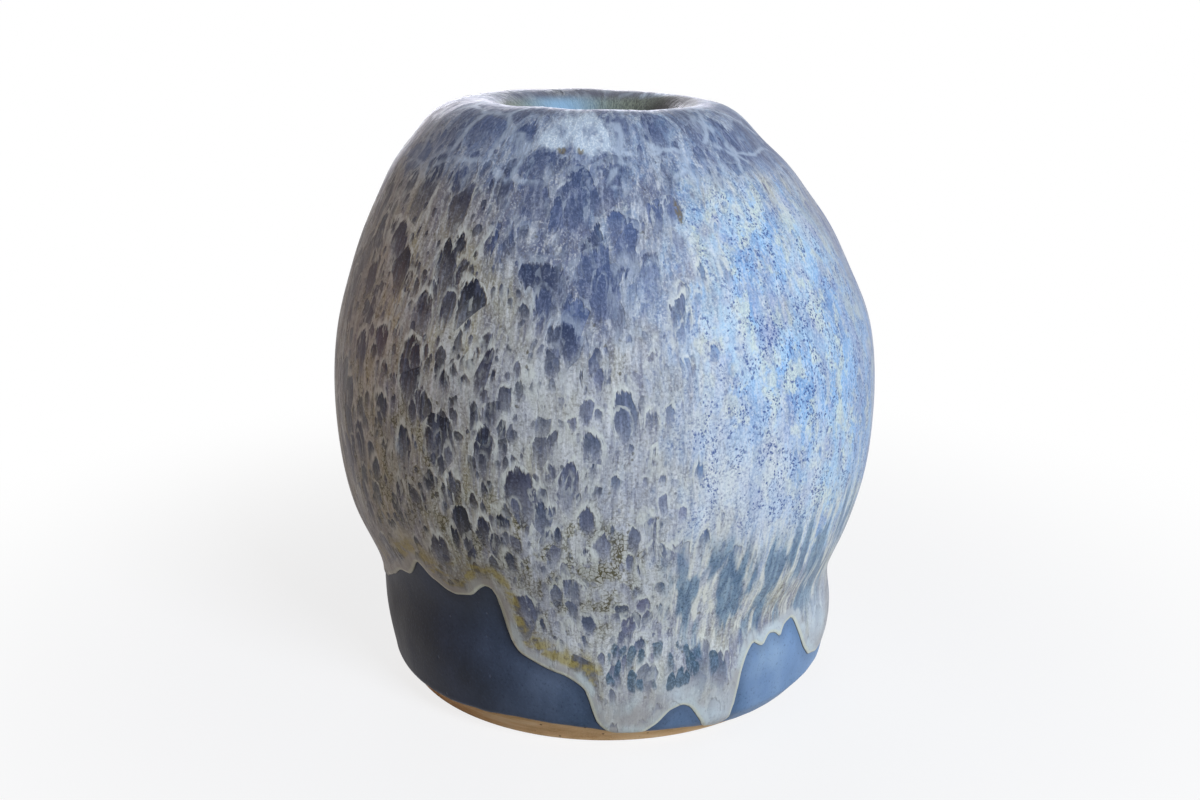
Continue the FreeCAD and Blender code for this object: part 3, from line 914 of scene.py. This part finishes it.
# %% Flecks and lanes
def flecks_and_lanes(f, colour, skin):
    place, streaks, grains = f.place, f.streaks, f.grains
    gathered = f.smooth(f.cloud(place, 2.6, 4.5, detail=3.0), 0.42, 0.6)
    grit = f.smooth(f.cloud(f.calm, 0.42, 0.6, rough=0.7), 0.44, 0.38) * gathered
    flecks = f.most(f.dots(f.fine, 0.5, 0.45, gathered * 0.6), grit)
    colour = f.blend(flecks * f.zone["pale"] * 0.85, colour, "#2c4a86")
    lane = f.smooth(f.cloud(place, 2.6, 20.0, detail=3.0), 0.44, 0.56)
    blue = f.blend(f.smooth(streaks, 0.4, 0.6), "#5b768f", "#7e98ab")
    blue = f.blend(f.smooth(grains, 0.49, 0.38) * 0.6, blue, "#3a5468")
    cream = f.blend(f.smooth(streaks, 0.46, 0.6) * 0.75, skin, "#dfe0d0")
    return f.blend(f.zone["lanes"] * 0.85, colour, f.blend(lane, blue, cream))


# %% [markdown]
# ## Crown and throat
# Pale veins part the crown's panels, and a bright star of cream glaze lies at the front of the lip.
# Inside the throat the glaze is glassy olive, with a painted reflection in pale blue on one side and
# painted shade in brown on the other.

# %% Crown and throat
def crown_and_throat(f, colour):
    place, fine, grains = f.place, f.fine, f.grains
    vein = f.seams(f.grid(place, 12.0, 8.0)) + (f.cloud(fine, 1.0, 1.6) - 0.5) * 0.10
    vein = f.smooth(vein, 0.075, 0.01) * f.smooth(f.cloud(place, 5.0, 5.0), 0.4, 0.52)
    vein = vein * f.smooth(f.zone["crown"], 0.45, 0.95)
    colour = f.blend(vein * 0.62, colour, "#bac8d7")
    colour = f.blend(f.note("taupe") * 0.6, colour, "#756e66")
    # the painted shade on the throat's right reaches further up
    throat = f.smooth(f.note("throat_arc") - f.note("throat_painted_shade") * 3.0, 5.2, 3.4)
    glassy = f.blend(f.smooth(grains, 0.4, 0.6), "#6f776a", "#98a08c")
    # pale blue painted reflection, then dark brown painted shade
    glassy = f.blend(f.note("throat_painted_reflection"), glassy, "#9cc4e2")
    glassy = f.blend(f.note("throat_painted_shade"), glassy, "#2a211b")
    colour = f.blend(throat * 0.9, colour, glassy)
    star = f.blend(f.smooth(grains, 0.48, 0.6) * 0.6, "#bccbd8", "#eef5f6")
    rays = f.smooth(f.cloud(place, 2.0, 3.4, detail=3.0), 0.36, 0.54)
    colour = f.blend(f.zone["star"] * (1.0 - throat) * (0.35 + rays * 0.6), colour, star)
    mark = f.note("mark") * f.smooth(f.teeth, 0.35, 0.5)
    return f.blend(f.smooth(mark, 0.3, 0.7) * 0.7, colour, "#70633a")


# %% [markdown]
# ## Along the edge
# Iron gathered as an ochre stain in a broken band just inside the edge.  The rolled rim and the drops
# are smooth and milky, with teal windows above them, and a thin line of painted shade runs under the
# edge.

# %% Ochre, smooth tips, teal windows and the rim
def along_the_edge(f, colour):
    place, fine, grains, edge = f.place, f.fine, f.grains, f.note("edge")
    frayed = edge + (f.cloud(fine, 1.6, 3.0) - 0.5) * 3.0
    broken = f.smooth(f.cloud(fine, 2.8, 1.9, detail=3.0), 0.4, 0.56)
    ochre = f.zone["ochre"] * f.smooth(edge, 1.2, 2.2) * f.smooth(frayed, 6.8, 3.2)
    ochre = ochre * (0.4 + broken * 0.6)
    stain = f.blend(broken, "#75683c", "#a1934e")
    stain = f.blend(f.smooth(grains, 0.47, 0.37) * 0.5, stain, "#5c4a22")
    colour = f.blend(ochre * 0.8, colour, stain)

    tip = f.blend(f.smooth(f.cloud(place, 4.0, 5.0), 0.4, 0.6), "#a6a5a2", "#b9c2c0")
    tip = f.blend(f.zone["deep"] * 0.6, tip, "#9b9385")
    tip = f.blend(f.note("milky") * 0.75, tip, "#cbd8de")
    tip = f.blend(f.smooth(grains, 0.42, 0.32) * 0.3, tip, "#7b7c90")
    smooth_share = f.most(f.smooth(frayed, 2.6, 1.2), f.note("smooth_tip") * 0.95)
    colour = f.blend(smooth_share * (1.0 - ochre * 0.8), colour, tip)

    teal = windows(f, fine, 1.7, 3.8, 0.3, 0.72, f.zone["teal"], f.teeth * 0.5 + 0.25, fading=0.4)
    teal_tone = f.blend(f.smooth(grains, 0.45, 0.6), "#3a5263", "#5b7488")
    colour = f.blend(teal[0] * f.smooth(edge, 2.0, 3.5) * 0.9, colour, teal_tone)
    colour = f.blend(f.smooth(edge, 0.8, 0.4) * 0.7, colour, "#cfd1bd")
    # painted shade: a thin dark line where the rolled edge meets the glaze below
    return f.blend(f.smooth(edge, 0.16, 0.03) * 0.7, colour, "#4a4a44")


# %% [markdown]
# ## All of the runny finish together
# Each step paints over the one before.  Painted shade goes on the two far sides last, brown with a
# painted warm reflection on the left and grey-violet on the right.  The relief sinks the windows and
# raises the streaks, and only the throat is really glossy.

# %% Put the runny finish together
def runny_finish():
    f = RunnyGlaze("runny_pale_glaze")
    skin = skin_tones(f)
    colour, hollow = windowed(f, skin)
    colour = flecks_and_lanes(f, colour, skin)
    colour = crown_and_throat(f, colour)
    colour = along_the_edge(f, colour)
    # painted shade and a painted warm reflection on the far left side
    colour = f.blend(f.note("left_shade_warm_reflection") * 0.6, colour, "#4e3b30")
    # painted shade on the far right side
    colour = f.blend(f.note("right_edge_shade") * 0.55, colour, "#747d9b")

    in_throat = f.smooth(f.note("throat_arc"), 5.2, 3.4)
    roughness = f.smooth(f.streaks, 0.35, 0.65, 0.36, 0.5) * (1.0 - in_throat * 0.6)
    swell = f.relief(f.cloud(f.place, 3.5, 6.0), 0.3)
    normal = f.relief(f.grains * 0.5 + f.streaks - hollow * 0.9, 0.10, swell)
    f.shader.inputs["Specular IOR Level"].default_value = 0.14
    f.coat(runny_coat, "overglaze", colour, roughness, normal)


runny_finish()

# %% [markdown]
# ## Liner glaze
# Glossy, thin and translucent over the clay: grey-green, with dark specks.

# %% The liner finish
def liner_finish():
    f = Finish("grey_green_liner")
    place = f.flow()
    drift = f.cloud(place, 6.0, 9.0, detail=3.0)
    speckle = f.cloud(place, 0.5, 0.6)
    colour = f.ramp(drift, (0.32, "#5f6a5e"), (0.5, "#76806f"), (0.7, "#8d957f"))
    colour = f.blend(f.smooth(speckle, 0.42, 0.3) * 0.4, colour, "#3f3a2c")
    normal = f.relief(drift + speckle * 0.2, 0.15)
    f.shader.inputs["Coat Weight"].default_value = 0.6
    f.shader.inputs["Coat Roughness"].default_value = 0.08
    f.coat(liner_coat, "liner", colour, f.smooth(drift, 0.3, 0.7, 0.18, 0.28), normal)


liner_finish()

# %% [markdown]
# ## A white floor
# The vase stands on a plain white floor.  It is a wide disc that fades to pure white away from the
# pot, so it keeps the soft shadow and shows no horizon.

# %% The floor's rings
FLOOR_GAP = 0.00002     # metres between the foot and the floor, so that the two never share a plane
FIRST_RING, RING_GROWTH, RING_COUNT = 0.05, 1.18, 31
AROUND = 96

round_turns = 2 * math.pi * np.arange(AROUND) / AROUND
radii = FIRST_RING * RING_GROWTH ** np.arange(RING_COUNT)[:, None]
rings = np.stack([radii * np.cos(round_turns), radii * np.sin(round_turns)], axis=-1)
flat_points = np.vstack([(0.0, 0.0), rings.reshape(-1, 2)])
floor_points = [(x, y, -FLOOR_GAP) for x, y in flat_points.tolist()]
ring_ids = 1 + np.arange(RING_COUNT * AROUND).reshape(RING_COUNT, AROUND)
floor_faces = [(0, 1 + i, 1 + (i + 1) % AROUND) for i in range(AROUND)]
floor_mesh = bpy.data.meshes.new("white_floor")
floor_mesh.from_pydata(floor_points, [], floor_faces + faces_between(ring_ids))
floor = placed("white_floor", floor_mesh)

# %% The floor's finish
FADE_FROM, FADE_TO = 0.05, 0.17     # metres from the axis
NEAR_GLOW = 0.8                     # how much of the floor is plain white glow near the pot


def floor_finish():
    f = Finish("matt_white_floor")
    where = f.node("ShaderNodeNewGeometry").outputs["Position"]
    distance = f.node("ShaderNodeVectorMath", {0: where}, operation="LENGTH").outputs["Value"]
    seen = f.in_view()
    share = f.smooth(distance, FADE_FROM, FADE_TO, NEAR_GLOW, 1.0) * seen
    glow = f.node("ShaderNodeEmission", {"Color": (1, 1, 1, 1), "Strength": 1.0}).outputs[0]
    f.feed(f.shader.inputs["Base Color"], f.blend(seen, "#c0b9ae", "#f4f4f4"))
    f.shader.inputs["Roughness"].default_value = 0.9
    f.shader.inputs["Specular IOR Level"].default_value = 0.1
    mixed = f.node("ShaderNodeMixShader", {0: share, 1: f.shader.outputs[0], 2: glow})
    f.feed(f.net.nodes["Material Output"].inputs[0], mixed.outputs[0])
    floor_mesh.materials.append(f.material)


floor_finish()

# %% [markdown]
# ## Studio light
# A broad cool window high on the right gives the sheen, and a low one further round lights the foot.
# A weak warm lamp on the left keeps the dark side from going black, and one behind shows the back.

# %% Lamps
VASE_MIDDLE = (0.0, 0.0, 0.05)
LAMPS = (   # name, place, width and height in metres, power in watts, colour
    ("window_light", (0.62, -0.85, 0.72), (0.45, 0.45), 13.0, "#e8f0ff"),
    ("side_window", (0.85, -0.70, 0.12), (0.35, 0.4), 3.6, "#dfeaff"),
    ("back_lamp", (-0.15, 1.15, 0.14), (0.6, 0.6), 8.0, "#f2f2ff"),
    ("warm_fill", (-0.85, 0.12, 0.12), (0.4, 0.4), 0.9, "#ff9560"),
)

for name, place, size, power, colour in LAMPS:
    lamp = bpy.data.lights.new(name, "AREA")
    lamp.shape, lamp.size, lamp.size_y = "RECTANGLE", size[0], size[1]
    lamp.energy, lamp.color = power, paint(colour)[:3]
    holder = placed(name, lamp)
    holder.location = place
    away = [a - b for a, b in zip(VASE_MIDDLE, place)]
    flat = math.hypot(away[0], away[1])
    holder.rotation_euler = (math.pi / 2 + math.atan2(away[2], flat), 0,
                             math.atan2(away[1], away[0]) - math.pi / 2)

# %% [markdown]
# ## The room
# The world adds a little warm light from everywhere.  Seen straight or mirrored it is plain white, so
# the vase stands in front of nothing.

# %% World
AMBIENT_COLOUR, AMBIENT_STRENGTH = "#ece8e2", 0.11

world = bpy.data.worlds.new("pale_room")
bpy.context.scene.world = world
world.use_nodes = True
room = Wiring(world.node_tree)
dim = room.net.nodes["Background"]
room.feed(dim.inputs["Color"], paint(AMBIENT_COLOUR))
room.feed(dim.inputs["Strength"], AMBIENT_STRENGTH)
white = room.node("ShaderNodeBackground", {"Color": (1, 1, 1, 1), "Strength": 1.0})
choose = room.node("ShaderNodeMixShader", {0: room.in_view(), 1: dim.outputs[0], 2: white.outputs[0]})
room.feed(room.net.nodes["World Output"].inputs[0], choose.outputs[0])

# %% [markdown]
# ## Camera
# The camera stands close, a little above the vase, and looks slightly down.

# %% Place the camera
LENS, SENSOR_WIDTH = 42.45, 36.0        # millimetres
LOOKING_DOWN = 16.9                     # degrees
NEAREST_SEEN = 0.01                     # metres
camera = bpy.data.cameras.new("camera")
camera.lens, camera.sensor_width = LENS, SENSOR_WIDTH
camera.clip_start = NEAREST_SEEN
camera_holder = placed("camera", camera)
camera_holder.location = (-0.0008, -0.228, 0.1141)
camera_holder.rotation_euler = (math.radians(90 - LOOKING_DOWN), 0, 0)
bpy.context.scene.camera = camera_holder
bpy.context.scene.view_settings.view_transform = "Standard"
